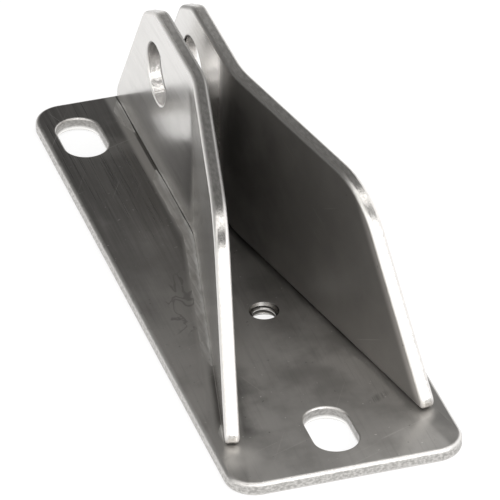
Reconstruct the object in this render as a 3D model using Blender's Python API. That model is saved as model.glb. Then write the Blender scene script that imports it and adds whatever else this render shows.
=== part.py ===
"""Welded stainless-steel mounting bracket: a slotted base plate with two bent cheek plates
standing on it. Metres, +Z up. The origin is the centre of the base plate's underside, +Y runs
to the back, where the cheeks stand close together, and +X runs to the right."""

import math

import bmesh
import bpy
from mathutils import Vector
from mathutils.geometry import delaunay_2d_cdt

MM = 0.001
GAP = 0.3 * MM  # clearance left between pieces that touch

# Base plate
BASE_WIDTH = 76.2 * MM
BASE_LENGTH = 226.5 * MM
BASE_THICKNESS = 4.8 * MM
BASE_CORNER_RADIUS = 9.8 * MM
SLOT_WIDTH = 14.2 * MM
SLOT_LENGTH = 23.7 * MM
FRONT_SLOT_Y = -92.0 * MM
BACK_SLOT_X = 26.1 * MM
BACK_SLOT_Y = 91.3 * MM
TAPPED_HOLE_Y = -24.0 * MM
TAPPED_HOLE_DIAMETER = 8.1 * MM

# Cheek plates: a flat trapezoid, bent once, seen here as S along the plate and Z up the plate
CHEEK_THICKNESS = 4.8 * MM
CHEEK_HEIGHT = 59.8 * MM
CHEEK_LENGTH = 205.2 * MM
CHEEK_GAP = 7.6 * MM  # clear space between the two cheeks at the back
CHEEK_BACK_Y = 110.8 * MM
END_SLOPE = math.radians(56.0)
HEEL_HEIGHT = 4.5 * MM
TOE_HEIGHT = 3.0 * MM
HEEL_RADIUS = 8.5 * MM
TOP_BACK_CUT = 8.8 * MM  # length ground off each side of the top back corner
TOP_BACK_RADIUS = 12.0 * MM
SHOULDER_RADIUS = 27.0 * MM
TOE_RADIUS = 3.0 * MM
FOOT_RADIUS = 1.5 * MM
BEND_Y = 23.4 * MM
BEND_ANGLE = math.radians(12.5)
BEND_RADIUS = 46.0 * MM
PIN_HOLE_S = 47.1 * MM
PIN_HOLE_Z = 37.2 * MM
PIN_HOLE_DIAMETER = 20.6 * MM

# Welds: low fillets along the outer foot of each cheek, ground nearly flush. Each has the
# length along the cheek where it starts, the length where it ends, and its width
REAR_WELD = (1.5 * MM, 22.0 * MM, 3.2 * MM)
MIDDLE_WELD = (46.0 * MM, 161.5 * MM, 3.2 * MM)
TOE_WELD = (193.5 * MM, 203.0 * MM, 1.8 * MM)
WELD_HEIGHT = 1.0 * MM
WELD_HOLLOW = 0.25  # how far the weld's face sags towards its corner, as a share of its legs
WELD_FACE_STEPS = 4

# Finish and mesh density
EDGE_RADIUS = 1.4 * MM
HOLE_EDGE_RADIUS = 0.8 * MM
EDGE_STEPS = 2
ARC_STEP = math.radians(12.0)
HOLE_STEPS = 32
BEND_STEPS = 8
SHARP_ANGLE = math.radians(35.0)
SAME_POINT = 1e-7  # metres: points closer than this count as one

STEEL = (0.40, 0.39, 0.38, 1.0)
WELD_STEEL = (0.46, 0.45, 0.43, 1.0)


def clear_scene():
    for obj in list(bpy.data.objects):
        bpy.data.objects.remove(obj, do_unlink=True)


def make_metal(name, colour, roughness):
    material = bpy.data.materials.new(name)
    material.use_nodes = True
    shader = material.node_tree.nodes["Principled BSDF"]
    shader.inputs["Base Color"].default_value = colour
    shader.inputs["Metallic"].default_value = 1.0
    shader.inputs["Roughness"].default_value = roughness
    return material


def arc(centre, radius, start, turn):
    """Points of an arc from the angle start through the signed angle turn."""
    steps = max(2, math.ceil(abs(turn) / ARC_STEP))
    angles = [start + turn * index / steps for index in range(steps + 1)]
    return [centre + radius * Vector((math.cos(a), math.sin(a))) for a in angles]


def rounded_outline(corners):
    """A counter-clockwise outline whose corners, each (x, y, radius), are replaced by arcs."""
    points = []
    for index, (x, y, radius) in enumerate(corners):
        here = Vector((x, y))
        to_last = (Vector(corners[index - 1][:2]) - here).normalized()
        to_next = (Vector(corners[(index + 1) % len(corners)][:2]) - here).normalized()
        half_angle = to_last.angle(to_next) / 2
        centre = here + (to_last + to_next).normalized() * radius / math.sin(half_angle)
        first = here + to_last * radius / math.tan(half_angle) - centre
        points += arc(centre, radius, math.atan2(first.y, first.x), math.pi - 2 * half_angle)
    return points


def circle(x, y, diameter):
    angles = [2 * math.pi * index / HOLE_STEPS for index in range(HOLE_STEPS)]
    return [Vector((x, y)) + diameter / 2 * Vector((math.cos(a), math.sin(a))) for a in angles]


def slot(x, y):
    """A slot with round ends, its long way along Y."""
    radius = SLOT_WIDTH / 2
    reach = Vector((0.0, SLOT_LENGTH / 2 - radius))
    centre = Vector((x, y))
    return arc(centre + reach, radius, 0.0, math.pi) + arc(centre - reach, radius, math.pi, math.pi)


def moved_inwards(loop, distance):
    """The closed loop with each point moved distance to its left, square to the line."""
    moved = []
    for index, point in enumerate(loop):
        before = (point - loop[index - 1]).normalized()
        after = (loop[(index + 1) % len(loop)] - point).normalized()
        left = Vector((-before.y - after.y, before.x + after.x)).normalized()
        reach = left.dot(Vector((-before.y, before.x)))
        moved.append(point + left * distance / reach)
    return moved


def with_points_at(loop, stations):
    """The loop with a point added wherever one of its lines passes a station in X."""
    full = []
    for index, point in enumerate(loop):
        after = loop[(index + 1) % len(loop)]
        full.append(point)
        low, high = sorted((point.x, after.x))
        inside = [x for x in stations if low < x < high]
        for x in sorted(inside, reverse=after.x < point.x):
            full.append(point.lerp(after, (x - point.x) / (after.x - point.x)))
    return full


def plate_mesh(name, outline, holes, thickness, place, stations=()):
    """A plate with rounded rims. Its loops are flat (x, y) points, and place(x, y, depth) puts
    each one in space. The stations are the X values where the plate is free to bend."""
    loops = [with_points_at(outline, stations)] + [list(reversed(hole)) for hole in holes]
    mesh = bmesh.new()
    caps = {}
    for loop_index, loop in enumerate(loops):
        radius = HOLE_EDGE_RADIUS if loop_index else EDGE_RADIUS
        turns = [math.pi / 2 * step / EDGE_STEPS for step in range(EDGE_STEPS + 1)]
        rims = [(radius * (1 - math.sin(t)), radius * (1 - math.cos(t))) for t in turns]
        rims += [(inset, thickness - depth) for inset, depth in reversed(rims)]
        rings = []
        for inset, depth in rims:
            points = moved_inwards(loop, inset)
            rings.append([mesh.verts.new(place(p.x, p.y, depth)) for p in points])
            caps.setdefault(depth, []).append((points, rings[-1]))
        for ring, next_ring in zip(rings, rings[1:]):
            for index in range(len(ring)):
                after = (index + 1) % len(ring)
                mesh.faces.new((ring[index], ring[after], next_ring[after], next_ring[index]))
    for depth in (0.0, thickness):
        fill_cap(mesh, caps[depth], stations)
    bmesh.ops.recalc_face_normals(mesh, faces=mesh.faces)
    return finished_mesh(mesh, name)


def fill_cap(mesh, cap_loops, stations):
    """Fills the flat face between an outer loop and its holes, divided along the stations. A
    triangle with its three corners on one hole lies inside that hole, as the holes are convex."""
    points, verts, edges, loop_of = [], [], [], []
    for loop_index, (loop, ring) in enumerate(cap_loops):
        first = len(points)
        points += loop
        verts += ring
        edges += [(first + i, first + (i + 1) % len(loop)) for i in range(len(loop))]
        loop_of += [loop_index] * len(loop)
    for x in stations:
        ends = [i for i in range(len(points)) if abs(points[i].x - x) < SAME_POINT]
        edges.append((min(ends, key=lambda i: points[i].y), max(ends, key=lambda i: points[i].y)))
    inside_only = 1
    _, _, faces, sources, _, _ = delaunay_2d_cdt(points, edges, [], inside_only, SAME_POINT)
    for face in faces:
        corners = [sources[corner][0] for corner in face]
        owners = {loop_of[corner] for corner in corners}
        if owners == {0} or len(owners) > 1:
            mesh.faces.new([verts[corner] for corner in corners])


def finished_mesh(mesh, name):
    data = bpy.data.meshes.new(name)
    mesh.to_mesh(data)
    mesh.free()
    data.shade_smooth()
    data.set_sharp_from_angle(angle=SHARP_ANGLE)
    return data


def add_node(name, data, material):
    obj = bpy.data.objects.new(name, data)
    obj.data.materials.append(material)
    bpy.context.scene.collection.objects.link(obj)
    return obj


def cheek_plan(s, outward):
    """The plan position (x, y) of the left cheek at the length s from its back end and at the
    distance outward from its mid surface. It runs straight, rolls round the bend, then flares."""
    straight = CHEEK_BACK_Y - BEND_Y - BEND_RADIUS * math.tan(BEND_ANGLE / 2)
    angle = min(max((s - straight) / BEND_RADIUS, 0.0), BEND_ANGLE)
    flared = max(s - straight - BEND_RADIUS * BEND_ANGLE, 0.0)
    x = -(CHEEK_GAP + CHEEK_THICKNESS) / 2
    x -= BEND_RADIUS * (1 - math.cos(angle)) + flared * math.sin(angle)
    y = CHEEK_BACK_Y - min(s, straight) - BEND_RADIUS * math.sin(angle) - flared * math.cos(angle)
    return x - outward * math.cos(angle), y + outward * math.sin(angle)


def bend_stations():
    straight = CHEEK_BACK_Y - BEND_Y - BEND_RADIUS * math.tan(BEND_ANGLE / 2)
    arc_length = BEND_RADIUS * BEND_ANGLE
    return [straight + arc_length * index / BEND_STEPS for index in range(BEND_STEPS + 1)]


def cheek_outline():
    back_run = (CHEEK_HEIGHT - HEEL_HEIGHT) / math.tan(END_SLOPE)
    front_run = (CHEEK_HEIGHT - TOE_HEIGHT) / math.tan(END_SLOPE)
    cut_run = TOP_BACK_CUT * math.cos(END_SLOPE)
    cut_drop = TOP_BACK_CUT * math.sin(END_SLOPE)
    return rounded_outline(
        [
            (0.0, 0.0, FOOT_RADIUS),
            (CHEEK_LENGTH, 0.0, FOOT_RADIUS),
            (CHEEK_LENGTH, TOE_HEIGHT, TOE_RADIUS),
            (CHEEK_LENGTH - front_run, CHEEK_HEIGHT, SHOULDER_RADIUS),
            (back_run + TOP_BACK_CUT, CHEEK_HEIGHT, TOP_BACK_RADIUS),
            (back_run - cut_run, CHEEK_HEIGHT - cut_drop, TOP_BACK_RADIUS),
            (0.0, HEEL_HEIGHT, HEEL_RADIUS),
        ]
    )


def add_base_plate(material):
    half_width = BASE_WIDTH / 2
    half_length = BASE_LENGTH / 2
    outline = rounded_outline(
        [
            (-half_width, -half_length, BASE_CORNER_RADIUS),
            (half_width, -half_length, BASE_CORNER_RADIUS),
            (half_width, half_length, BASE_CORNER_RADIUS),
            (-half_width, half_length, BASE_CORNER_RADIUS),
        ]
    )
    holes = [
        slot(0.0, FRONT_SLOT_Y),
        slot(-BACK_SLOT_X, BACK_SLOT_Y),
        slot(BACK_SLOT_X, BACK_SLOT_Y),
        circle(0.0, TAPPED_HOLE_Y, TAPPED_HOLE_DIAMETER),
    ]

    def place(x, y, depth):
        return Vector((x, y, depth))

    data = plate_mesh("base_plate", outline, holes, BASE_THICKNESS, place)
    add_node("base_plate", data, material)


def add_cheek(name, side, material):
    """A cheek plate. The side is 1 for the left one and -1 for its mirror image."""
    foot = BASE_THICKNESS + GAP

    def place(s, z, depth):
        x, y = cheek_plan(s, depth - CHEEK_THICKNESS / 2)
        return Vector((x * side, y, foot + z))

    pin_hole = circle(PIN_HOLE_S, PIN_HOLE_Z, PIN_HOLE_DIAMETER)
    data = plate_mesh(name, cheek_outline(), [pin_hole], CHEEK_THICKNESS, place, bend_stations())
    add_node(name, data, material)


def weld_section(width):
    """The weld's cross-section as (outward, up) points: two legs and a hollow face."""
    corner = Vector((CHEEK_THICKNESS / 2 + GAP, BASE_THICKNESS + GAP))
    face = []
    for index in range(WELD_FACE_STEPS + 1):
        part = index / WELD_FACE_STEPS
        sag = 1 - WELD_HOLLOW * 4 * part * (1 - part)
        face.append(corner + Vector((width * (1 - part) * sag, WELD_HEIGHT * part * sag)))
    return [corner] + face


def add_weld(name, side, weld, material):
    """A fillet weld along the outer foot of a cheek."""
    start, end, width = weld
    stations = [start] + [s for s in bend_stations() if start < s < end] + [end]
    section = weld_section(width)
    mesh = bmesh.new()
    rings = []
    for s in stations:
        ring = []
        for point in section:
            x, y = cheek_plan(s, point.x)
            ring.append(mesh.verts.new((x * side, y, point.y)))
        rings.append(ring)
    for ring, next_ring in zip(rings, rings[1:]):
        for index in range(len(ring)):
            after = (index + 1) % len(ring)
            mesh.faces.new((ring[index], ring[after], next_ring[after], next_ring[index]))
    mesh.faces.new(rings[0])
    mesh.faces.new(rings[-1])
    bmesh.ops.recalc_face_normals(mesh, faces=mesh.faces)
    add_node(name, finished_mesh(mesh, name), material)


def main():
    clear_scene()
    plate_steel = make_metal("brushed_steel", STEEL, 0.35)
    weld_steel = make_metal("ground_weld", WELD_STEEL, 0.45)
    add_base_plate(plate_steel)
    for side_name, side in (("left", 1), ("right", -1)):
        add_cheek(f"{side_name}_cheek", side, plate_steel)
        add_weld(f"{side_name}_rear_weld", side, REAR_WELD, weld_steel)
        add_weld(f"{side_name}_middle_weld", side, MIDDLE_WELD, weld_steel)
        add_weld(f"{side_name}_toe_weld", side, TOE_WELD, weld_steel)


main()
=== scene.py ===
"""Looks of the welded clevis bracket: finely rounded steel plates, a real thread, ground and
blended welds, and procedural brushed-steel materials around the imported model."""

import math

import bmesh
import bpy
from mathutils import Matrix, Vector, noise
from mathutils.geometry import delaunay_2d_cdt


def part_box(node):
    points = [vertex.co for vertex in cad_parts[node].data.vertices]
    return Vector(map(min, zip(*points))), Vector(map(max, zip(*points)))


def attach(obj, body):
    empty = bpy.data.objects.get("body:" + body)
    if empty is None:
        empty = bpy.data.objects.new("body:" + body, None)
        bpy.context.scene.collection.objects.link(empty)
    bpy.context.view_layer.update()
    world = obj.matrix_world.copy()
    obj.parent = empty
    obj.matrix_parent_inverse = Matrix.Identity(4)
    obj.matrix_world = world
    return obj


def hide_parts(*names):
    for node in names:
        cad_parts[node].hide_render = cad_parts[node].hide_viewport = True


MM = 0.001

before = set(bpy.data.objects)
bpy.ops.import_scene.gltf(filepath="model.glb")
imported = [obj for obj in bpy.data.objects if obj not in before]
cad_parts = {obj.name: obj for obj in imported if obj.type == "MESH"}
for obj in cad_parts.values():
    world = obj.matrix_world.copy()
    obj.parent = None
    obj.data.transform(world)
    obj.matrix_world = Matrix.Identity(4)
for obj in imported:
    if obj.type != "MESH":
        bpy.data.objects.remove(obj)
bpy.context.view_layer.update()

# Sizes that the frame gives
base_low, base_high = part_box("base_plate")
cheek_low, cheek_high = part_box("left_cheek")
BASE_THICKNESS = base_high.z - base_low.z
CHEEK_HEIGHT = cheek_high.z - cheek_low.z
CHEEK_BACK_Y = cheek_high.y
CHEEK_INNER_X = -cheek_high.x

# The same design sizes as the frame's own source
BASE_CORNER_RADIUS = 9.8 * MM
SLOT_WIDTH = 14.2 * MM
SLOT_LENGTH = 23.7 * MM
FRONT_SLOT_Y = -92.0 * MM
BACK_SLOT_X = 26.1 * MM
BACK_SLOT_Y = 91.3 * MM
TAPPED_HOLE_Y = -24.0 * MM
THREAD_MINOR_RADIUS = 3.75 * MM
THREAD_MAJOR_RADIUS = 4.76 * MM
THREAD_PITCH = 1.5875 * MM
THREAD_COUNTERSINK = 0.15 * MM
THREAD_FLANK = 2.7  # how steeply a turn rises from its root to its crest
THREAD_TURN_STEPS = 96
THREAD_LEVELS = 110
THREAD_END_LEVELS = 2  # levels at each end that look like the plate and not the thread
THREAD_CREST_LIGHT = 0.75  # how far the crests are painted lighter than the roots, as painted highlight
CHEEK_THICKNESS = 4.8 * MM
CHEEK_LENGTH = 205.2 * MM
END_SLOPE = math.radians(56.0)
HEEL_HEIGHT = 4.5 * MM
TOE_HEIGHT = 3.0 * MM
HEEL_RADIUS = 8.5 * MM
TOP_BACK_CUT = 8.8 * MM  # length ground off each side of the top back corner
TOP_BACK_RADIUS = 12.0 * MM
SHOULDER_RADIUS = 27.0 * MM
TOE_RADIUS = 3.0 * MM
FOOT_RADIUS = 1.5 * MM
BEND_Y = 23.4 * MM
BEND_ANGLE = math.radians(12.5)
BEND_RADIUS = 46.0 * MM
PIN_HOLE_S = 47.1 * MM
PIN_HOLE_Z = 37.2 * MM
PIN_HOLE_DIAMETER = 20.6 * MM

# Welds
WELD_HEIGHT = 1.0 * MM
WELDS = {  # where each starts and ends along the cheek, and its width
    "rear": (1.5 * MM, 22.0 * MM, 3.2 * MM),
    "middle": (46.0 * MM, 161.5 * MM, 3.2 * MM),
    "toe": (193.5 * MM, 203.0 * MM, 1.8 * MM),
}
WELD_GAP = 0.02 * MM
WELD_STEP = 0.4 * MM
WELD_FACE_STEPS = 10
WELD_HOLLOW = 0.325  # how far the face sags towards its corner, as a share of its legs
WELD_END_SHARE = 0.15  # size of the bead at its very end
WELD_END_GROWTH = 0.14  # added for each millimetre from the end
WELD_SWELL_RATE = 160  # slow and fast changes along the bead, in noise steps per metre
WELD_RIPPLE_RATE = 900
WELD_WIDTH_SHARES = (0.93, 0.10, 0.03)  # steady, swelling and rippling share
WELD_HEIGHT_SHARES = (0.80, 0.25, 0.06)
WELD_SHARP_ANGLE = math.radians(50)

# Camera
CAMERA_AZIMUTH = math.radians(-17.42)
CAMERA_ELEVATION = math.radians(33.54)
CAMERA_ROLL = math.radians(-0.22)
CAMERA_DISTANCE = 2.055
CAMERA_TARGET = Vector((-0.1 * MM, -9.8 * MM, 18.8 * MM))
CAMERA_LENS = 468.0
CAMERA_SENSOR = 36.0

# Floor and light
FLOOR_REACH = 4.0
FLOOR_DROP = 0.2 * MM
FLOOR_COLOUR = (0.25, 0.25, 0.25, 1.0)
FLOOR_ROUGHNESS = 0.9
FLOOR_GLOW = 0.80
SOFTBOX_PLACE = (0.45, -1.45, 0.95)
SOFTBOX_TARGET = (0.0, 0.0, 0.02)
SOFTBOX_SIZE = (1.3, 0.9)
SOFTBOX_POWER = 12.0
WORLD_STRENGTH = 2.5
WORLD_TINT = (1.0, 0.99, 0.975)
WORLD_BANDS = (  # (degrees up from the back horizon, brightness), with the two ends first
    (0.0, 1.0),
    (180.0, 1.2),
    (8.0, 0.75),
    (18.0, 0.24),
    (79.0, 0.22),
    (87.0, 2.4),
    (101.0, 2.4),
    (107.0, 0.12),
    (123.0, 0.12),
    (130.0, 2.4),
    (160.0, 2.4),
)
WORLD_SIDE_START = 0.45  # the bands give way to an even grey between these two X directions
WORLD_SIDE_END = 0.70
WORLD_SIDE_COLOUR = (0.6, 0.6, 0.6, 1.0)

# Finish and mesh density
EDGE_RADIUS = 1.4 * MM
HOLE_EDGE_RADIUS = 0.8 * MM
EDGE_STEPS = 8
ARC_STEP = math.radians(3.0)
BEND_STEPS = 28
SAME_POINT = 1e-7  # metres: points closer than this count as one
# Masks for wear and for painted light and shade on the walls of holes and the thread
WEAR_AND_PAINTED_LIGHT_LAYERS = ("rim", "cut", "bore", "across", "thread")
CHEEK_FRONT_Y = -91.6 * MM  # where the feet of the flared cheeks end

# Colours of the steel, as the shares of red, green and blue light that it throws back
BASE_TINTS = {
    "dark line": (0.150, 0.145, 0.139),
    "light line": (0.205, 0.198, 0.190),
    # The next three are painted light, lightening the plate towards the front and between the
    # cheeks
    "between cheeks": (0.62, 0.605, 0.585),
    "front": (0.72, 0.70, 0.675),
    "front between cheeks": (0.88, 0.86, 0.83),
    "streak": (0.80, 0.78, 0.75),
    "cloud": (0.22, 0.212, 0.203),
    "grime": (0.12, 0.115, 0.11),
    "wide streak": (0.50, 0.485, 0.465),
    "light brush": (0.66, 0.64, 0.615),
    "dark brush": (0.14, 0.134, 0.128),
    "dark blotch": (0.18, 0.172, 0.163),
    "light blotch": (0.55, 0.535, 0.51),
    "ground band": (0.66, 0.645, 0.62),
    "soot": (0.10, 0.094, 0.088),
    "smudge": (0.74, 0.72, 0.69),
    "stain": (0.16, 0.153, 0.146),
    "pit": (0.12, 0.115, 0.11),
    "scratch": (0.80, 0.785, 0.76),
    "speck": (0.92, 0.90, 0.88),
    "dark wall": (0.36, 0.35, 0.335),
    "light wall": (0.60, 0.585, 0.565),
    "slot wall": (0.22, 0.212, 0.203),
    "lit slot wall foot": (0.95, 0.94, 0.92),
    "worn rim": (0.70, 0.685, 0.665),
    "lit thread crest": (0.62, 0.605, 0.585),
    "shaded thread root": (0.05, 0.048, 0.046),
}
CHEEK_TINTS = {
    "dark line": (0.640, 0.625, 0.605),
    "light line": (0.735, 0.72, 0.70),
    "blotch": (0.52, 0.505, 0.485),
    "shaded inner back": (0.18, 0.173, 0.166),
    "shaded inner front": (0.32, 0.31, 0.298),
    "inner blotch": (0.42, 0.405, 0.388),
    "polished slope": (0.85, 0.83, 0.80),
    "heat tint": (0.33, 0.315, 0.295),
    "pit": (0.25, 0.24, 0.23),
    "scratch": (0.86, 0.845, 0.82),
    "dark wall": (0.43, 0.418, 0.40),
    "light wall": (0.58, 0.566, 0.547),
    "worn rim": (0.80, 0.785, 0.765),
    "lit hole foot": (0.85, 0.83, 0.81),
    "shaded hole top": (0.27, 0.26, 0.25),
    "raw edge": (0.16, 0.155, 0.148),
}
WELD_TINTS = {
    "dark line": (0.56, 0.545, 0.52),
    "light line": (0.74, 0.725, 0.70),
    "heat tint": (0.42, 0.395, 0.36),
    "pore": (0.2, 0.19, 0.18),
}


# ---------------------------------------------------------------- outlines

def arc(centre, radius, start, turn):
    """Points of an arc from the angle start through the signed angle turn."""
    steps = max(4, math.ceil(abs(turn) / ARC_STEP))
    angles = [start + turn * index / steps for index in range(steps + 1)]
    return [centre + radius * Vector((math.cos(a), math.sin(a))) for a in angles]


def rounded_outline(corners):
    """A counter-clockwise outline whose corners, each (x, y, radius), are replaced by arcs."""
    points = []
    for index, (x, y, radius) in enumerate(corners):
        here = Vector((x, y))
        to_last = (Vector(corners[index - 1][:2]) - here).normalized()
        to_next = (Vector(corners[(index + 1) % len(corners)][:2]) - here).normalized()
        half_angle = to_last.angle(to_next) / 2
        centre = here + (to_last + to_next).normalized() * radius / math.sin(half_angle)
        first = here + to_last * radius / math.tan(half_angle) - centre
        points += arc(centre, radius, math.atan2(first.y, first.x), math.pi - 2 * half_angle)
    return points


def circle(x, y, radius):
    count = round(2 * math.pi / ARC_STEP)
    angles = [2 * math.pi * index / count for index in range(count)]
    return [Vector((x, y)) + radius * Vector((math.cos(a), math.sin(a))) for a in angles]


def slot(x, y):
    radius = SLOT_WIDTH / 2
    reach = Vector((0.0, SLOT_LENGTH / 2 - radius))
    centre = Vector((x, y))
    return arc(centre + reach, radius, 0.0, math.pi) + arc(centre - reach, radius, math.pi, math.pi)


def moved_inwards(loop, distance):
    """The closed loop with each point moved distance to its left, square to the line."""
    moved = []
    for index, point in enumerate(loop):
        before = (point - loop[index - 1]).normalized()
        after = (loop[(index + 1) % len(loop)] - point).normalized()
        left = Vector((-before.y - after.y, before.x + after.x)).normalized()
        reach = left.dot(Vector((-before.y, before.x)))
        moved.append(point + left * distance / reach)
    return moved


def with_points_at(loop, stations):
    """The loop with a point added wherever one of its lines passes a station in X."""
    full = []
    for index, point in enumerate(loop):
        after = loop[(index + 1) % len(loop)]
        full.append(point)
        low, high = sorted((point.x, after.x))
        inside = [x for x in stations if low < x < high]
        for x in sorted(inside, reverse=after.x < point.x):
            full.append(point.lerp(after, (x - point.x) / (after.x - point.x)))
    return full


# ---------------------------------------------------------------- plates

def rim_rows(radius, thickness):
    """(inset, depth, wear, cut) of each ring round a rim, from one face over the edge to the
    other. Wear peaks on the roundings, and cut is 1 on the edge wall and 0 on the two faces."""
    turns = [math.pi / 2 * step / EDGE_STEPS for step in range(EDGE_STEPS + 1)]
    rows = [
        (radius * (1 - math.sin(t)), radius * (1 - math.cos(t)), math.sin(2 * t), math.sin(t))
        for t in turns
    ]
    return rows + [(inset, thickness - depth, wear, cut) for inset, depth, wear, cut in rows[::-1]]


def plate_object(name, outline, holes, thickness, place, stations=(), thread=None):
    """A plate with finely rounded rims, as its own object. place(x, y, depth) puts each flat
    point in space. The thread, if any, is the centre of a tapped hole."""
    loops = [with_points_at(outline, stations)] + [list(reversed(hole)) for hole in holes]
    mesh = bmesh.new()
    layers = {key: mesh.verts.layers.float.new(key) for key in WEAR_AND_PAINTED_LIGHT_LAYERS}
    caps = {0.0: [], thickness: []}
    for loop_index, loop in enumerate(loops):
        radius = HOLE_EDGE_RADIUS if loop_index else EDGE_RADIUS
        rings = []
        for inset, depth, wear, cut in rim_rows(radius, thickness):
            points = moved_inwards(loop, inset)
            ring = [mesh.verts.new(place(p.x, p.y, depth)) for p in points]
            bore = cut if loop_index else 0.0
            for vert in ring:
                vert[layers["rim"]] = wear
                vert[layers["cut"]] = cut
                vert[layers["bore"]] = bore
                vert[layers["across"]] = depth / thickness
            rings.append(ring)
            if depth in caps:
                caps[depth].append((points, ring))
        join_rings(mesh, rings)
    if thread:
        rings = thread_rings(mesh, thread, thickness, place, layers["thread"])
        join_rings(mesh, rings)
        for vert in rings[-1]:
            vert[layers["across"]] = 1.0
        for depth, ring in ((0.0, rings[0]), (thickness, rings[-1])):
            caps[depth].append(([Vector(v.co.xy) for v in ring], ring))
    for cap_loops in caps.values():
        fill_cap(mesh, cap_loops, stations)
    bmesh.ops.recalc_face_normals(mesh, faces=mesh.faces)
    return finished_object(mesh, name)


def join_rings(mesh, rings):
    for ring, next_ring in zip(rings, rings[1:]):
        for index in range(len(ring)):
            after = (index + 1) % len(ring)
            mesh.faces.new((ring[index], ring[after], next_ring[after], next_ring[index]))


def thread_rings(mesh, centre, thickness, place, layer):
    """Rings of the tapped hole, clockwise: a helical thread between two countersinks."""
    rings = []
    for level in range(THREAD_LEVELS + 1):
        depth = thickness * level / THREAD_LEVELS
        in_thread = THREAD_END_LEVELS <= level <= THREAD_LEVELS - THREAD_END_LEVELS
        from_end = min(depth, thickness - depth)
        flare = THREAD_MAJOR_RADIUS + THREAD_COUNTERSINK - from_end
        ring = []
        for step in range(THREAD_TURN_STEPS):
            angle = -2 * math.pi * step / THREAD_TURN_STEPS
            phase = (depth / THREAD_PITCH - angle / (2 * math.pi)) % 1.0
            rise = THREAD_FLANK / 2 - THREAD_FLANK * abs(phase - 0.5)
            ridge = min(1.0, max(0.0, rise))
            radius = THREAD_MAJOR_RADIUS - (THREAD_MAJOR_RADIUS - THREAD_MINOR_RADIUS) * ridge
            radius = max(radius, flare)
            x = centre.x + radius * math.cos(angle)
            y = centre.y + radius * math.sin(angle)
            vert = mesh.verts.new(place(x, y, depth))
            # The thread layer carries painted shade at the roots and painted highlight on the
            # crests
            vert[layer] = 1.0 - THREAD_CREST_LIGHT * ridge if in_thread else 0.0
            ring.append(vert)
        rings.append(ring)
    return rings


def fill_cap(mesh, cap_loops, stations):
    """Fills the flat face between an outer loop and its holes, divided along the stations. A
    triangle with its three corners on one hole lies inside that hole, as the holes are convex."""
    points, verts, edges, loop_of = [], [], [], []
    for loop_index, (loop, ring) in enumerate(cap_loops):
        first = len(points)
        points += loop
        verts += ring
        edges += [(first + i, first + (i + 1) % len(loop)) for i in range(len(loop))]
        loop_of += [loop_index] * len(loop)
    for x in stations:
        ends = [i for i in range(len(points)) if abs(points[i].x - x) < SAME_POINT]
        edges.append((min(ends, key=lambda i: points[i].y), max(ends, key=lambda i: points[i].y)))
    inside_only = 1
    _, _, faces, sources, _, _ = delaunay_2d_cdt(points, edges, [], inside_only, SAME_POINT)
    for face in faces:
        corners = [sources[corner][0] for corner in face]
        owners = {loop_of[corner] for corner in corners}
        if owners == {0} or len(owners) > 1:
            mesh.faces.new([verts[corner] for corner in corners])


def finished_object(mesh, name):
    data = bpy.data.meshes.new(name)
    mesh.to_mesh(data)
    mesh.free()
    data.shade_smooth()
    obj = bpy.data.objects.new(name, data)
    bpy.context.scene.collection.objects.link(obj)
    weighted = obj.modifiers.new("flat faces stay flat", "WEIGHTED_NORMAL")
    weighted.mode = "FACE_AREA"
    weighted.weight = 100
    weighted.keep_sharp = True
    return obj


# ---------------------------------------------------------------- cheeks

def cheek_plan(s, outward):
    """The plan position (x, y) of the left cheek at the length s from its back end and at the
    distance outward from its mid surface. It runs straight, rolls round the bend, then flares."""
    straight = CHEEK_BACK_Y - BEND_Y - BEND_RADIUS * math.tan(BEND_ANGLE / 2)
    angle = min(max((s - straight) / BEND_RADIUS, 0.0), BEND_ANGLE)
    flared = max(s - straight - BEND_RADIUS * BEND_ANGLE, 0.0)
    x = -CHEEK_INNER_X - CHEEK_THICKNESS / 2
    x -= BEND_RADIUS * (1 - math.cos(angle)) + flared * math.sin(angle)
    y = CHEEK_BACK_Y - min(s, straight) - BEND_RADIUS * math.sin(angle) - flared * math.cos(angle)
    return x - outward * math.cos(angle), y + outward * math.sin(angle)


def bend_stations():
    straight = CHEEK_BACK_Y - BEND_Y - BEND_RADIUS * math.tan(BEND_ANGLE / 2)
    arc_length = BEND_RADIUS * BEND_ANGLE
    return [straight + arc_length * index / BEND_STEPS for index in range(BEND_STEPS + 1)]


def cheek_outline():
    back_run = (CHEEK_HEIGHT - HEEL_HEIGHT) / math.tan(END_SLOPE)
    front_run = (CHEEK_HEIGHT - TOE_HEIGHT) / math.tan(END_SLOPE)
    cut_run = TOP_BACK_CUT * math.cos(END_SLOPE)
    cut_drop = TOP_BACK_CUT * math.sin(END_SLOPE)
    return rounded_outline(
        [
            (0.0, 0.0, FOOT_RADIUS),
            (CHEEK_LENGTH, 0.0, FOOT_RADIUS),
            (CHEEK_LENGTH, TOE_HEIGHT, TOE_RADIUS),
            (CHEEK_LENGTH - front_run, CHEEK_HEIGHT, SHOULDER_RADIUS),
            (back_run + TOP_BACK_CUT, CHEEK_HEIGHT, TOP_BACK_RADIUS),
            (back_run - cut_run, CHEEK_HEIGHT - cut_drop, TOP_BACK_RADIUS),
            (0.0, HEEL_HEIGHT, HEEL_RADIUS),
        ]
    )


def make_cheek(name, side):
    def place(s, z, depth):
        x, y = cheek_plan(s, depth - CHEEK_THICKNESS / 2)
        return Vector((x * side, y, cheek_low.z + z))

    hole = circle(PIN_HOLE_S, PIN_HOLE_Z, PIN_HOLE_DIAMETER / 2)
    return plate_object(name, cheek_outline(), [hole], CHEEK_THICKNESS, place, bend_stations())


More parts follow.
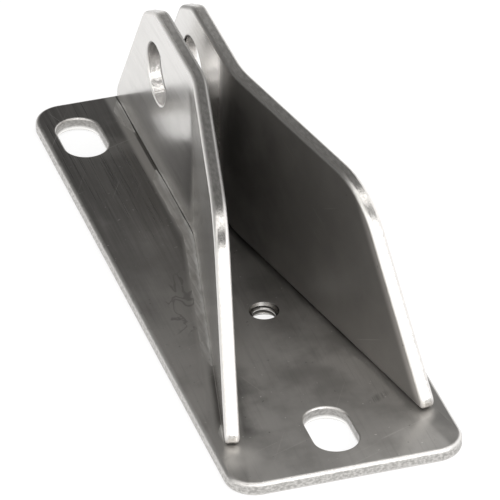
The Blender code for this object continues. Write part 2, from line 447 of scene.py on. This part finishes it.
def make_base_plate():
    outline = rounded_outline(
        [
            (base_low.x, base_low.y, BASE_CORNER_RADIUS),
            (base_high.x, base_low.y, BASE_CORNER_RADIUS),
            (base_high.x, base_high.y, BASE_CORNER_RADIUS),
            (base_low.x, base_high.y, BASE_CORNER_RADIUS),
        ]
    )
    holes = [
        slot(0.0, FRONT_SLOT_Y),
        slot(-BACK_SLOT_X, BACK_SLOT_Y),
        slot(BACK_SLOT_X, BACK_SLOT_Y),
    ]

    def place(x, y, depth):
        return Vector((x, y, base_low.z + depth))

    tapped = Vector((0.0, TAPPED_HOLE_Y))
    return plate_object("base_plate_body", outline, holes, BASE_THICKNESS, place, thread=tapped)


# ---------------------------------------------------------------- welds

def weld_section(s, start, end, full_width):
    """The bead's cross-section at s as (outward, up) points: hidden corner, then its face from
    the feathered outer toe up to the cheek. The bead thins out over its last 6 mm."""
    taper = min(1.0, WELD_END_SHARE + WELD_END_GROWTH * min(s - start, end - s) / MM)
    seed = start * WELD_RIPPLE_RATE
    swell = noise.noise(Vector((s * WELD_SWELL_RATE, 0.0, seed)))
    ripple = noise.noise(Vector((s * WELD_RIPPLE_RATE, 7.0, seed)))
    steady, swelling, rippling = WELD_WIDTH_SHARES
    width = full_width * taper * (steady + swelling * swell + rippling * ripple)
    steady, swelling, rippling = WELD_HEIGHT_SHARES
    height = WELD_HEIGHT * taper * (steady + swelling * swell + rippling * ripple)
    corner = Vector((CHEEK_THICKNESS / 2 + WELD_GAP, BASE_THICKNESS + WELD_GAP))
    face = []
    for index in range(WELD_FACE_STEPS + 1):
        part = index / WELD_FACE_STEPS
        sag = 1 - WELD_HOLLOW * 4 * part * (1 - part)
        face.append(corner + Vector((width * (1 - part) * sag, height * part * sag)))
    return [corner] + face


def make_weld(name, side, start, end, full_width):
    count = round((end - start) / WELD_STEP)
    mesh = bmesh.new()
    rings = []
    for step in range(count + 1):
        s = start + (end - start) * step / count
        ring = []
        for point in weld_section(s, start, end, full_width):
            x, y = cheek_plan(s, point.x)
            ring.append(mesh.verts.new((x * side, y, base_low.z + point.y)))
        rings.append(ring)
    join_rings(mesh, rings)
    mesh.faces.new(rings[0])
    mesh.faces.new(rings[-1])
    bmesh.ops.recalc_face_normals(mesh, faces=mesh.faces)
    obj = finished_object(mesh, name)
    obj.data.set_sharp_from_angle(angle=WELD_SHARP_ANGLE)
    return obj


# ---------------------------------------------------------------- materials

class Recipe:
    """One node material in the making: each method adds nodes and hands back a socket."""

    def __init__(self, name):
        self.material = bpy.data.materials.new(name)
        self.material.use_nodes = True
        self.nodes = self.material.node_tree.nodes
        self.links = self.material.node_tree.links
        self.shader = self.nodes["Principled BSDF"]
        self.shader.inputs["Metallic"].default_value = 1.0
        self.point = self.nodes.new("ShaderNodeTexCoord").outputs["Object"]

    def plug(self, value, socket):
        if isinstance(value, bpy.types.NodeSocket):
            self.links.new(value, socket)
        elif isinstance(value, tuple) and len(socket.default_value) == 4:
            socket.default_value = (*value, 1.0)
        else:
            socket.default_value = value

    def math(self, operation, first, second=0.0):
        node = self.nodes.new("ShaderNodeMath")
        node.operation = operation
        self.plug(first, node.inputs[0])
        self.plug(second, node.inputs[1])
        return node.outputs[0]

    def times(self, first, second):
        return self.math("MULTIPLY", first, second)

    def scaled(self, scale, turn=0.0, shift=(0.0, 0.0, 0.0)):
        """The surface point turned about Z, stretched per axis and shifted."""
        turned = self.nodes.new("ShaderNodeMapping")
        self.plug(self.point, turned.inputs["Vector"])
        turned.inputs["Rotation"].default_value = (0.0, 0.0, turn)
        stretched = self.nodes.new("ShaderNodeMapping")
        self.plug(turned.outputs[0], stretched.inputs["Vector"])
        stretched.inputs["Scale"].default_value = scale
        stretched.inputs["Location"].default_value = shift
        return stretched.outputs[0]

    def noise(self, scale, detail=3.0, turn=0.0, shift=(0.0, 0.0, 0.0), warp=0.0):
        node = self.nodes.new("ShaderNodeTexNoise")
        if not isinstance(scale, tuple):
            scale = (scale, scale, scale)
        self.plug(self.scaled(scale, turn, shift), node.inputs["Vector"])
        node.inputs["Scale"].default_value = 1.0
        node.inputs["Detail"].default_value = detail
        node.inputs["Distortion"].default_value = warp
        return node.outputs["Fac"]

    def between(self, value, low, high, start=0.0, end=1.0):
        """Start below low, end above high, and a smooth step from one to the other. With low
        above high it runs the other way: start above low and end below high."""
        node = self.nodes.new("ShaderNodeMapRange")
        node.interpolation_type = "SMOOTHSTEP"
        self.plug(value, node.inputs["Value"])
        for key, number in (
            ("From Min", low), ("From Max", high), ("To Min", start), ("To Max", end)
        ):
            node.inputs[key].default_value = number
        return node.outputs["Result"]

    def blend(self, share, first, second):
        """A mix of two numbers or two colours by the share of the second."""
        colours = isinstance(first, tuple) or getattr(first, "type", "") == "RGBA"
        node = self.nodes.new("ShaderNodeMix")
        node.data_type = "RGBA" if colours else "FLOAT"
        sockets = [s for s in node.inputs if s.enabled]
        self.plug(share, sockets[0])
        self.plug(first, sockets[1])
        self.plug(second, sockets[2])
        return next(s for s in node.outputs if s.enabled)

    def mixed(self, first, second, where, strength):
        """The first number or colour, mixed towards the second by where times the strength."""
        return self.blend(self.times(where, strength), first, second)

    def attribute(self, name):
        node = self.nodes.new("ShaderNodeAttribute")
        node.attribute_name = name
        return node.outputs["Fac"]

    def axes(self):
        node = self.nodes.new("ShaderNodeSeparateXYZ")
        self.plug(self.point, node.inputs[0])
        return node.outputs

    def near(self, x, y, reach_x, reach_y, turn=0.0):
        """1 at (x, y) on the plate, fading to 0 at an ellipse of the given reach round it."""
        moved = self.nodes.new("ShaderNodeMapping")
        moved.vector_type = "TEXTURE"
        self.plug(self.point, moved.inputs["Vector"])
        moved.inputs["Location"].default_value = (x, y, BASE_THICKNESS)
        moved.inputs["Rotation"].default_value = (0.0, 0.0, turn)
        moved.inputs["Scale"].default_value = (reach_x, reach_y, 1.0)
        length = self.nodes.new("ShaderNodeVectorMath")
        length.operation = "LENGTH"
        self.plug(moved.outputs[0], length.inputs[0])
        return self.between(length.outputs["Value"], 0.25, 1.0, 1.0, 0.0)

    def bumped(self, height, strength, distance, under=None):
        node = self.nodes.new("ShaderNodeBump")
        node.inputs["Strength"].default_value = strength
        node.inputs["Distance"].default_value = distance
        self.plug(height, node.inputs["Height"])
        if under is not None:
            self.plug(under, node.inputs["Normal"])
        return node.outputs["Normal"]

    def finish(self, colour, roughness, normal):
        self.plug(colour, self.shader.inputs["Base Color"])
        self.plug(roughness, self.shader.inputs["Roughness"])
        self.plug(normal, self.shader.inputs["Normal"])
        return self.material

    def scratches(self, turns, length=14.0, fineness=1500.0, rarity=0.74):
        """Thin, straight, sparse lines in each of the turns, as 0 to 1."""
        total = 0.0
        for index, turn in enumerate(turns):
            line = self.noise((fineness, length, fineness), 1.0, turn, (9.0 * index, 5.0, 0.0))
            total = self.math("MAXIMUM", self.between(line, rarity, rarity + 0.03), total)
        return total


def foot_distance(r):
    """How far a point of the base plate lies outside the outer foot of the nearer cheek."""
    x, y, _ = r.axes()
    side = r.math("ABSOLUTE", x)
    straight = r.math("SUBTRACT", side, CHEEK_INNER_X + CHEEK_THICKNESS)
    across = r.times(straight, math.cos(BEND_ANGLE))
    along = r.times(r.math("SUBTRACT", y, BEND_Y), math.sin(BEND_ANGLE))
    return r.math("MINIMUM", straight, r.math("ADD", across, along))


def streak_share(r, enclosed):
    """Streaks between the cheeks, which run along the flare of the nearer one."""
    x, _, _ = r.axes()
    left = r.noise((900.0, 34.0, 900.0), 2.0, BEND_ANGLE)
    right = r.noise((900.0, 34.0, 900.0), 2.0, -BEND_ANGLE)
    streak = r.blend(r.between(x, -4.0 * MM, 4.0 * MM), left, right)
    return r.times(r.between(streak, 0.55, 0.72), enclosed)


def grime_share(r, distance, enclosed, blotch):
    """Dark grime along the inner feet of the flared cheeks, wider at the left one."""
    x, y, _ = r.axes()
    inner_foot = r.math("SUBTRACT", -CHEEK_THICKNESS, distance)
    reach = r.between(x, -2.0 * MM, 2.0 * MM, 13.0 * MM, 4.0 * MM)
    reach = r.times(reach, r.between(blotch, 0.30, 0.70, 0.45, 1.15))
    share = r.between(r.math("DIVIDE", inner_foot, reach), 0.0, 1.0, 1.0, 0.0)
    share = r.times(share, enclosed)
    share = r.times(share, r.between(y, -36.0 * MM, -68.0 * MM))
    return r.times(share, r.between(y, -97.0 * MM, -84.0 * MM))


def soot_share(r, distance, outside):
    """Soot beside the two unwelded stretches of each cheek's outer foot."""
    _, y, _ = r.axes()
    back = r.times(r.between(y, 60.0 * MM, 68.0 * MM), r.between(y, 92.0 * MM, 84.0 * MM))
    toe = r.times(r.between(y, -88.0 * MM, -76.0 * MM), r.between(y, -40.0 * MM, -58.0 * MM))
    back = r.times(back, r.between(distance, 0.1 * MM, 0.9 * MM, 1.0, 0.0))
    toe = r.times(toe, r.between(distance, 0.3 * MM, 2.6 * MM, 1.0, 0.0))
    return r.times(r.math("MAXIMUM", back, toe), outside)


def smudge_share(r, blotch):
    """Polished smudges in front of the toes."""
    left = r.near(-31.5 * MM, -98.5 * MM, 9.0 * MM, 8.0 * MM)
    right = r.near(25.0 * MM, -101.5 * MM, 3.2 * MM, 16.0 * MM, -0.72)
    return r.times(r.math("MAXIMUM", left, right), r.between(blotch, 0.15, 0.50))


def stain_share(r, fine):
    """Dried drip marks as thin wandering lines beside the left cheek, and one small stain."""
    wander = r.noise((150.0, 95.0, 150.0), 2.0, warp=0.6)
    off_line = r.math("ABSOLUTE", r.math("SUBTRACT", wander, 0.5))
    line = r.between(off_line, 0.012, 0.040, 1.0, 0.0)
    drips = r.near(-22.5 * MM, -12.0 * MM, 8.0 * MM, 24.0 * MM, -0.3)
    drips = r.times(line, r.between(drips, 0.05, 0.45))
    spot = r.near(19.0 * MM, -80.5 * MM, 6.0 * MM, 2.4 * MM, 0.5)
    spot = r.times(spot, r.between(fine, 0.3, 0.6))
    return r.math("MAXIMUM", drips, spot)


def base_steel():
    """Lengthwise brushed plate, dark and handled, polished beside the welds."""
    r = Recipe("base_plate_steel")
    tint = BASE_TINTS
    _, y, _ = r.axes()
    distance = foot_distance(r)
    cut = r.attribute("cut")
    bore = r.attribute("bore")
    thread = r.attribute("thread")
    fine = r.noise((2600.0, 30.0, 2600.0), 3.0)
    wide = r.noise((300.0, 13.0, 300.0), 1.0, 0.04)
    blotch = r.noise(55.0, 4.0)
    cloud = r.noise(16.0, 3.0, shift=(3.0, 1.0, 0.0))
    grit = r.noise(1900.0, 2.0)
    mottle = r.noise((900.0, 900.0, 1300.0), 4.0)
    pits = r.between(r.noise(620.0, 2.0, shift=(5.0, 2.0, 8.0)), 0.71, 0.76)
    scratch = r.scratches((0.5, -0.35, 1.2))
    # Painted light: the plate is lighter towards the front and between the cheeks
    front = r.between(y, 60.0 * MM, -70.0 * MM)
    enclosed = r.between(distance, -7.0 * MM, -5.0 * MM, 1.0, 0.0)
    front_lit_between_cheeks = r.times(enclosed, r.between(y, -15.0 * MM, -45.0 * MM))
    colour = r.blend(r.between(fine, 0.30, 0.70), tint["dark line"], tint["light line"])
    colour = r.mixed(colour, tint["between cheeks"], enclosed, 0.78)
    colour = r.mixed(colour, tint["front"], front, 0.66)
    colour = r.mixed(colour, tint["front between cheeks"], front_lit_between_cheeks, 0.40)
    # Streaks, clouds, grime and brush marks
    colour = r.mixed(colour, tint["streak"], streak_share(r, enclosed), 0.30)
    colour = r.blend(r.between(cloud, 0.42, 0.62, 0.0, 0.30), colour, tint["cloud"])
    grime = grime_share(r, distance, enclosed, blotch)
    colour = r.mixed(colour, tint["grime"], grime, 0.80)
    colour = r.blend(r.between(wide, 0.42, 0.75, 0.0, 0.15), colour, tint["wide streak"])
    brush = r.noise((1100.0, 30.0, 1100.0), 2.0, 0.02, (2.0, 6.0, 4.0))
    brush_share = r.between(r.noise(34.0, 2.0, shift=(6.0, 6.0, 6.0)), 0.35, 0.65, 0.3, 1.0)
    light_brush = r.times(r.between(brush, 0.50, 0.68, 0.0, 0.11), brush_share)
    dark_brush = r.times(r.between(brush, 0.46, 0.30, 0.0, 0.13), brush_share)
    colour = r.blend(light_brush, colour, tint["light brush"])
    colour = r.blend(dark_brush, colour, tint["dark brush"])
    colour = r.blend(r.between(blotch, 0.42, 0.70, 0.0, 0.42), colour, tint["dark blotch"])
    colour = r.blend(r.between(blotch, 0.48, 0.28, 0.0, 0.25), colour, tint["light blotch"])
    # Polished ground band beside each cheek, with the unwelded stretches left sooty
    outside = r.between(distance, -0.2 * MM, 0.2 * MM)
    band = r.times(r.between(distance, 2.6 * MM, 4.6 * MM, 1.0, 0.0), outside)
    soot = soot_share(r, distance, outside)
    light_band = r.times(band, r.math("SUBTRACT", 1.0, soot))
    colour = r.mixed(colour, tint["ground band"], light_band, 0.75)
    colour = r.mixed(colour, tint["soot"], soot, 0.85)
    # Marks of handling
    colour = r.mixed(colour, tint["smudge"], smudge_share(r, blotch), 0.75)
    colour = r.mixed(colour, tint["stain"], stain_share(r, fine), 0.45)
    colour = r.mixed(colour, tint["pit"], pits, 0.55)
    colour = r.mixed(colour, tint["scratch"], scratch, 0.30)
    specks = r.between(r.noise(760.0, 1.0, shift=(3.0, 8.0, 1.0)), 0.765, 0.79)
    specks = r.times(specks, r.blend(enclosed, 0.3, 1.0))
    colour = r.mixed(colour, tint["speck"], specks, 0.8)
    # Edge walls are lighter and mottled
    wall = r.blend(r.between(mottle, 0.34, 0.66), tint["dark wall"], tint["light wall"])
    colour = r.blend(r.between(cut, 0.55, 0.95), colour, wall)
    # The walls of the slots are darker with painted shade, and smoother and lighter with painted
    # light towards their foot
    colour = r.mixed(colour, tint["slot wall"], bore, 0.45)
    slot_foot_lit_and_smooth = r.between(r.attribute("across"), 0.20, 0.46, 1.0, 0.0)
    slot_foot_lit_and_smooth = r.times(bore, slot_foot_lit_and_smooth)
    colour = r.blend(slot_foot_lit_and_smooth, colour, tint["lit slot wall foot"])
    # The roundings are worn bright
    wear = r.times(r.attribute("rim"), r.between(r.noise(330.0, 4.0), 0.15, 0.48))
    colour = r.mixed(colour, tint["worn rim"], wear, 0.7)
    # Painted shade in the roots of the cut thread, and painted highlight on its crests
    in_thread = r.between(thread, 0.02, 0.10)
    thread_light_and_shade = r.blend(thread, tint["lit thread crest"], tint["shaded thread root"])
    colour = r.blend(in_thread, colour, thread_light_and_shade)
    rough = r.between(fine, 0.25, 0.75, 0.24, 0.42)
    rough = r.blend(r.between(cloud, 0.35, 0.65, 0.0, 0.5), rough, 0.40)
    rough = r.mixed(rough, 0.50, front, 0.7)
    rough = r.blend(light_band, rough, 0.30)
    rough = r.mixed(rough, 0.62, soot, 0.8)
    rough = r.blend(cut, rough, 0.36)
    rough = r.blend(slot_foot_lit_and_smooth, rough, 0.15)
    rough = r.blend(in_thread, rough, 0.25)
    normal = r.bumped(fine, 0.12, 0.02 * MM)
    waves = r.math("ADD", blotch, r.times(wide, 0.15))
    normal = r.bumped(waves, 0.5, 0.05 * MM, normal)
    marks = r.math("ADD", pits, scratch)
    normal = r.bumped(r.math("SUBTRACT", 1.0, marks), 0.6, 0.04 * MM, normal)
    edge_grit = r.times(cut, r.math("ADD", grit, r.times(mottle, 2.0)))
    normal = r.bumped(edge_grit, 0.7, 0.09 * MM, normal)
    return r.finish(colour, rough, normal)


def slope_distance(r):
    """How far a point of a cheek lies behind its front slope."""
    _, y, z = r.axes()
    behind_toe = r.math("SUBTRACT", y, CHEEK_FRONT_Y)
    behind_toe = r.times(behind_toe, math.sin(END_SLOPE) / math.cos(BEND_ANGLE))
    above_toe = r.math("SUBTRACT", z, cheek_low.z + TOE_HEIGHT)
    above_toe = r.times(above_toe, math.cos(END_SLOPE))
    return r.math("SUBTRACT", behind_toe, above_toe)


def upright_scratches(r, leans=(0.45, -0.6), length=22.0, fineness=1500.0, rarity=0.76):
    """Thin, sparse lines on the cheeks, which stand upright: they lie in the plane of Y and Z."""
    _, y, z = r.axes()
    total = 0.0
    for index, lean in enumerate(leans):
        along = r.math("ADD", y, r.times(z, lean))
        across = r.math("SUBTRACT", z, r.times(y, lean))
        place = r.nodes.new("ShaderNodeCombineXYZ")
        r.plug(r.times(along, length), place.inputs[0])
        r.plug(r.times(across, fineness), place.inputs[1])
        place.inputs[2].default_value = 3.0 + 4.0 * index
        line = r.nodes.new("ShaderNodeTexNoise")
        line.inputs["Scale"].default_value = 1.0
        line.inputs["Detail"].default_value = 1.0
        r.plug(place.outputs[0], line.inputs["Vector"])
        share = r.between(line.outputs["Fac"], rarity, rarity + 0.03)
        total = r.math("MAXIMUM", share, total)
    return total


def cheek_steel():
    """Smoothly polished outer faces, hazier inner faces with painted shade, ground edges and a
    drilled pin hole with painted light and shade.
    """
    r = Recipe("cheek_plate_steel")
    tint = CHEEK_TINTS
    _, y, z = r.axes()
    across = r.attribute("across")
    cut = r.attribute("cut")
    bore = r.attribute("bore")
    rim = r.attribute("rim")
    fine = r.noise((500.0, 40.0, 2200.0), 3.0)
    upright = r.noise((500.0, 900.0, 18.0), 2.0, shift=(1.0, 4.0, 2.0))
    blotch = r.noise(60.0, 4.0, shift=(2.0, 7.0, 1.0))
    cloud = r.noise(20.0, 3.0, shift=(8.0, 1.0, 0.0))
    grit = r.noise(2100.0, 2.0)
    mottle = r.noise((1100.0, 500.0, 1100.0), 3.0)
    pits = r.between(r.noise(540.0, 2.0, shift=(1.0, 9.0, 4.0)), 0.73, 0.77)
    scratch = upright_scratches(r)
    colour = r.blend(r.between(fine, 0.3, 0.7), tint["dark line"], tint["light line"])
    colour = r.blend(r.between(blotch, 0.45, 0.75, 0.0, 0.35), colour, tint["blotch"])
    # The parallel part of the inner faces is as smooth as the outside. The flared part is matt and
    # carries painted shade, darker towards the back, apart from a polished strip along its front
    # slope
    inner = r.between(across, 0.02, 0.30, 1.0, 0.0)
    dull_and_shaded = r.times(inner, r.between(y, 29.0 * MM, 37.0 * MM, 1.0, 0.0))
    from_slope = slope_distance(r)
    slope_polish = r.between(from_slope, 1.0 * MM, 5.0 * MM, 1.0, 0.0)
    forward = r.between(y, 30.0 * MM, -30.0 * MM)
    inner_shade = r.blend(forward, tint["shaded inner back"], tint["shaded inner front"])
    inner_blotch = r.between(blotch, 0.35, 0.70, 0.0, 0.5)
    inner_shade = r.blend(inner_blotch, inner_shade, tint["inner blotch"])
    inner_shade = r.blend(slope_polish, inner_shade, tint["polished slope"])
    colour = r.mixed(colour, inner_shade, dull_and_shaded, 0.92)
    # Heat tint and soot low down, where the plate was welded
    low = r.between(z, cheek_low.z, cheek_low.z + 5.0 * MM, 1.0, 0.0)
    soot = r.times(low, r.between(cloud, 0.35, 0.6))
    colour = r.mixed(colour, tint["heat tint"], soot, 0.35)
    colour = r.mixed(colour, tint["pit"], pits, 0.5)
    colour = r.mixed(colour, tint["scratch"], scratch, 0.25)
    # Edge walls are mottled, and the roundings are worn bright
    wall = r.blend(r.between(mottle, 0.32, 0.68), tint["dark wall"], tint["light wall"])
    colour = r.blend(r.between(cut, 0.6, 0.95), colour, wall)
    wear = r.times(rim, r.between(r.noise(240.0, 3.0), 0.10, 0.40))
    colour = r.mixed(colour, tint["worn rim"], wear, 0.7)
    # Painted light and shade in the pin hole: its drilled wall is dark at its top and light at its
    # foot
    hole_z = cheek_low.z + PIN_HOLE_Z
    up_the_hole = r.between(z, hole_z - 5.0 * MM, hole_z + 7.0 * MM)
    bore_shade = r.blend(up_the_hole, tint["lit hole foot"], tint["shaded hole top"])
    colour = r.mixed(colour, bore_shade, bore, 0.9)
    # The inner edges were never polished, except along the front slope
    raw_edge = r.times(rim, r.between(across, 0.45, 0.55, 1.0, 0.0))
    raw_edge = r.times(raw_edge, r.between(from_slope, 3.0 * MM, 9.0 * MM))
    colour = r.mixed(colour, tint["raw edge"], raw_edge, 0.75)
    rough = r.between(fine, 0.3, 0.7, 0.15, 0.22)
    rough = r.blend(r.between(cloud, 0.4, 0.65, 0.0, 0.5), rough, 0.28)
    rough = r.mixed(rough, 0.48, dull_and_shaded, 0.95)
    rough = r.blend(cut, rough, 0.24)
    rough = r.blend(rim, rough, 0.45)
    rough = r.blend(bore, rough, 0.24)
    normal = r.bumped(r.math("ADD", fine, upright), 0.15, 0.012 * MM)
    normal = r.bumped(blotch, 0.4, 0.05 * MM, normal)
    marks = r.math("ADD", pits, scratch)
    normal = r.bumped(r.math("SUBTRACT", 1.0, marks), 0.5, 0.03 * MM, normal)
    edge_grit = r.times(cut, r.math("ADD", grit, mottle))
    normal = r.bumped(edge_grit, 0.5, 0.05 * MM, normal)
    lumps = r.times(bore, r.noise((800.0, 1500.0, 1100.0), 2.0))
    normal = r.bumped(lumps, 0.9, 0.16 * MM, normal)
    # The outer faces are a little less metallic towards the back
    outer_metal = r.between(y, 10.0 * MM, 75.0 * MM, 1.0, 0.76)
    r.plug(r.blend(inner, outer_metal, 1.0), r.shader.inputs["Metallic"])
    return r.finish(colour, rough, normal)


def weld_steel():
    """Ground weld metal: bright on top, with fine pores and a faint heat tint."""
    r = Recipe("ground_weld_steel")
    tint = WELD_TINTS
    ground = r.noise((1500.0, 60.0, 1500.0), 3.0)
    blotch = r.noise(170.0, 3.0)
    pores = r.between(r.noise(1500.0, 2.0), 0.68, 0.74)
    colour = r.blend(r.between(ground, 0.3, 0.7), tint["dark line"], tint["light line"])
    colour = r.blend(r.between(blotch, 0.5, 0.75, 0.0, 0.45), colour, tint["heat tint"])
    colour = r.mixed(colour, tint["pore"], pores, 0.6)
    rough = r.between(ground, 0.3, 0.7, 0.28, 0.40)
    normal = r.bumped(ground, 0.3, 0.03 * MM)
    normal = r.bumped(r.math("SUBTRACT", blotch, pores), 0.5, 0.06 * MM, normal)
    return r.finish(colour, rough, normal)


# ---------------------------------------------------------------- studio

def make_floor():
    mesh = bmesh.new()
    bmesh.ops.create_grid(mesh, x_segments=1, y_segments=1, size=FLOOR_REACH)
    floor = bpy.data.objects.new("floor", bpy.data.meshes.new("floor"))
    mesh.to_mesh(floor.data)
    mesh.free()
    bpy.context.scene.collection.objects.link(floor)
    floor.location.z = -FLOOR_DROP
    material = bpy.data.materials.new("pale_floor")
    material.use_nodes = True
    shader = material.node_tree.nodes["Principled BSDF"]
    shader.inputs["Base Color"].default_value = FLOOR_COLOUR
    shader.inputs["Roughness"].default_value = FLOOR_ROUGHNESS
    shader.inputs["Specular IOR Level"].default_value = 0.0
    shader.inputs["Emission Color"].default_value = (1.0, 1.0, 1.0, 1.0)
    shader.inputs["Emission Strength"].default_value = FLOOR_GLOW
    floor.data.materials.append(material)


def aimed(location, target, roll=0.0):
    """A world matrix at the location, looking at the target."""
    turn = (Vector(target) - Vector(location)).to_track_quat("-Z", "Y").to_matrix().to_4x4()
    return Matrix.Translation(location) @ turn @ Matrix.Rotation(roll, 4, "Z")


def make_camera():
    back = Vector(
        (
            math.sin(CAMERA_AZIMUTH) * math.cos(CAMERA_ELEVATION),
            -math.cos(CAMERA_AZIMUTH) * math.cos(CAMERA_ELEVATION),
            math.sin(CAMERA_ELEVATION),
        )
    )
    data = bpy.data.cameras.new("camera")
    data.lens = CAMERA_LENS
    data.sensor_width = CAMERA_SENSOR
    camera = bpy.data.objects.new("camera", data)
    location = CAMERA_TARGET + back * CAMERA_DISTANCE
    camera.matrix_world = aimed(location, CAMERA_TARGET, CAMERA_ROLL)
    bpy.context.scene.collection.objects.link(camera)
    bpy.context.scene.camera = camera


def make_softbox():
    data = bpy.data.lights.new("front_softbox", "AREA")
    data.shape = "RECTANGLE"
    data.size, data.size_y = SOFTBOX_SIZE
    data.energy = SOFTBOX_POWER
    light = bpy.data.objects.new("front_softbox", data)
    light.matrix_world = aimed(SOFTBOX_PLACE, SOFTBOX_TARGET)
    bpy.context.scene.collection.objects.link(light)


def make_world():
    """A pale room as bands from the back horizon, over the top, to the front horizon. The dark
    band low at the back is what the level faces mirror, and the two bright ones are softboxes."""
    world = bpy.data.worlds.new("studio")
    world.use_nodes = True
    bpy.context.scene.world = world
    nodes, links = world.node_tree.nodes, world.node_tree.links
    axes = nodes.new("ShaderNodeSeparateXYZ")
    links.new(nodes.new("ShaderNodeTexCoord").outputs["Generated"], axes.inputs[0])
    angle = nodes.new("ShaderNodeMath")
    angle.operation = "ARCTAN2"
    links.new(axes.outputs["Z"], angle.inputs[0])
    links.new(axes.outputs["Y"], angle.inputs[1])
    share = nodes.new("ShaderNodeMath")
    share.operation = "DIVIDE"
    links.new(angle.outputs[0], share.inputs[0])
    share.inputs[1].default_value = math.pi
    ramp = nodes.new("ShaderNodeValToRGB")
    ramp.color_ramp.interpolation = "EASE"
    links.new(share.outputs[0], ramp.inputs[0])
    stops = ramp.color_ramp.elements
    for index, (degrees, level) in enumerate(WORLD_BANDS):
        stop = stops[index] if index < 2 else stops.new(1.0)
        stop.position = degrees / 180
        shade = level / WORLD_STRENGTH
        stop.color = (*(shade * part for part in WORLD_TINT), 1.0)
    side = nodes.new("ShaderNodeMapRange")
    side.interpolation_type = "SMOOTHSTEP"
    links.new(axes.outputs["X"], side.inputs["Value"])
    side.inputs["From Min"].default_value = WORLD_SIDE_START
    side.inputs["From Max"].default_value = WORLD_SIDE_END
    mix = nodes.new("ShaderNodeMix")
    mix.data_type = "RGBA"
    colours = [socket for socket in mix.inputs if socket.enabled]
    links.new(side.outputs["Result"], colours[0])
    links.new(ramp.outputs["Color"], colours[1])
    colours[2].default_value = WORLD_SIDE_COLOUR
    mixed = next(socket for socket in mix.outputs if socket.enabled)
    links.new(mixed, nodes["Background"].inputs["Color"])
    nodes["Background"].inputs["Strength"].default_value = WORLD_STRENGTH


def dress(obj, node, material):
    obj.data.materials.append(material)
    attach(obj, "root")
    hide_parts(node)


def main():
    dress(make_base_plate(), "base_plate", base_steel())
    cheek_material = cheek_steel()
    weld_material = weld_steel()
    for side_name, side in (("left", 1), ("right", -1)):
        cheek = make_cheek(f"{side_name}_cheek_body", side)
        dress(cheek, f"{side_name}_cheek", cheek_material)
        for place, (start, end, width) in WELDS.items():
            weld = make_weld(f"{side_name}_{place}_bead", side, start, end, width)
            dress(weld, f"{side_name}_{place}_weld", weld_material)
    make_floor()
    make_camera()
    make_world()
    make_softbox()
    bpy.context.scene.view_settings.view_transform = "Standard"


main()
